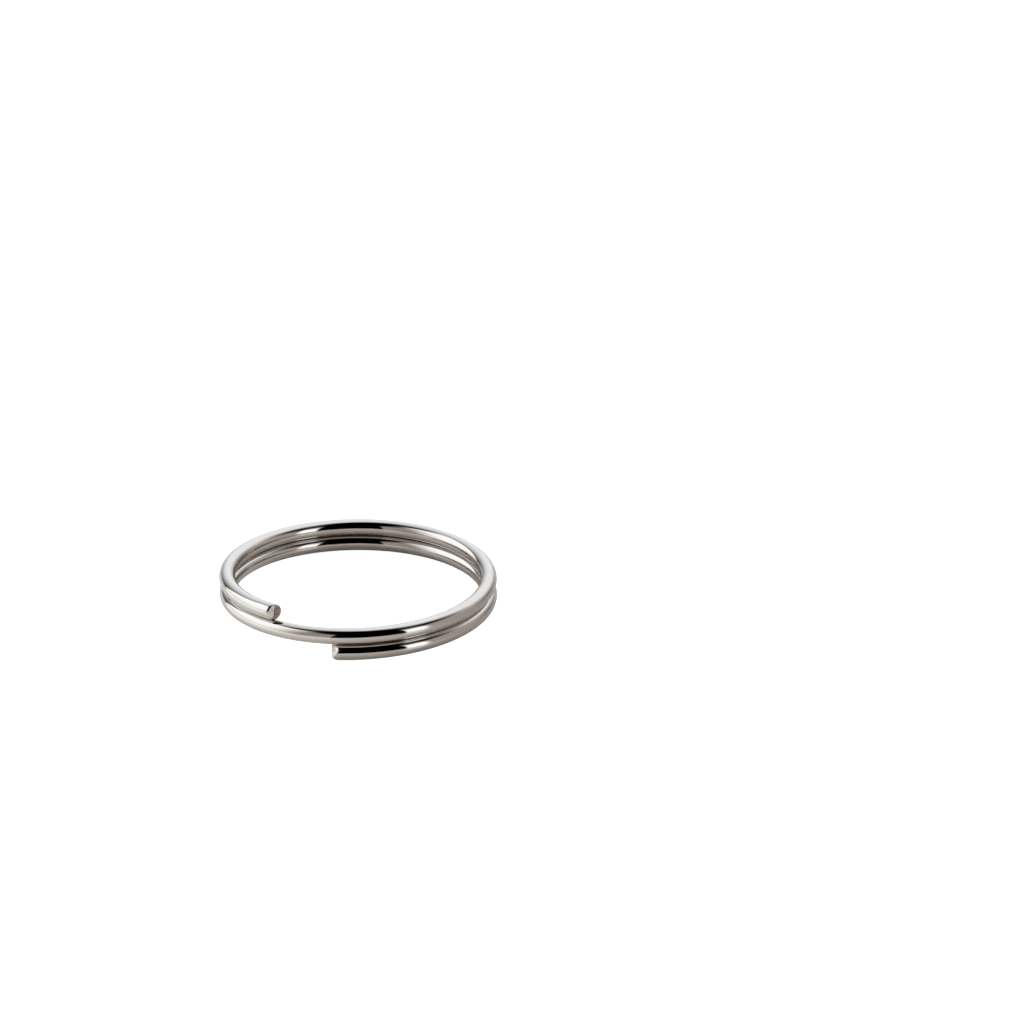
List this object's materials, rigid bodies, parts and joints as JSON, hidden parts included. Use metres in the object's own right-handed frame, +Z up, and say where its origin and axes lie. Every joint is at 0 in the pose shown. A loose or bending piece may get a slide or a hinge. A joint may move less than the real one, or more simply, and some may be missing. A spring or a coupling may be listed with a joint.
{
  "type": "split ring",
  "caption": "Close-wound helical ring of round bright-plated spring wire with two sheared ends, for holding keys, tags or parts together.",
  "frame": {"origin": "where the ring's axis meets the table it lies on, under the middle of the coil", "axes": "+Z up, out of the flat coil; the short stretch between the two cut ends faces -Y, the lower end on its +X side and the upper end on its -X side"},
  "size_m": [0.0281, 0.028, 0.0047],
  "materials": {
    "nickel_plated_wire": "bright nickel plate on spring steel wire, mirror smooth"
  },
  "bodies": {
    "root": {"split_ring": "nickel_plated_wire"}
  },
  "joints": []
}
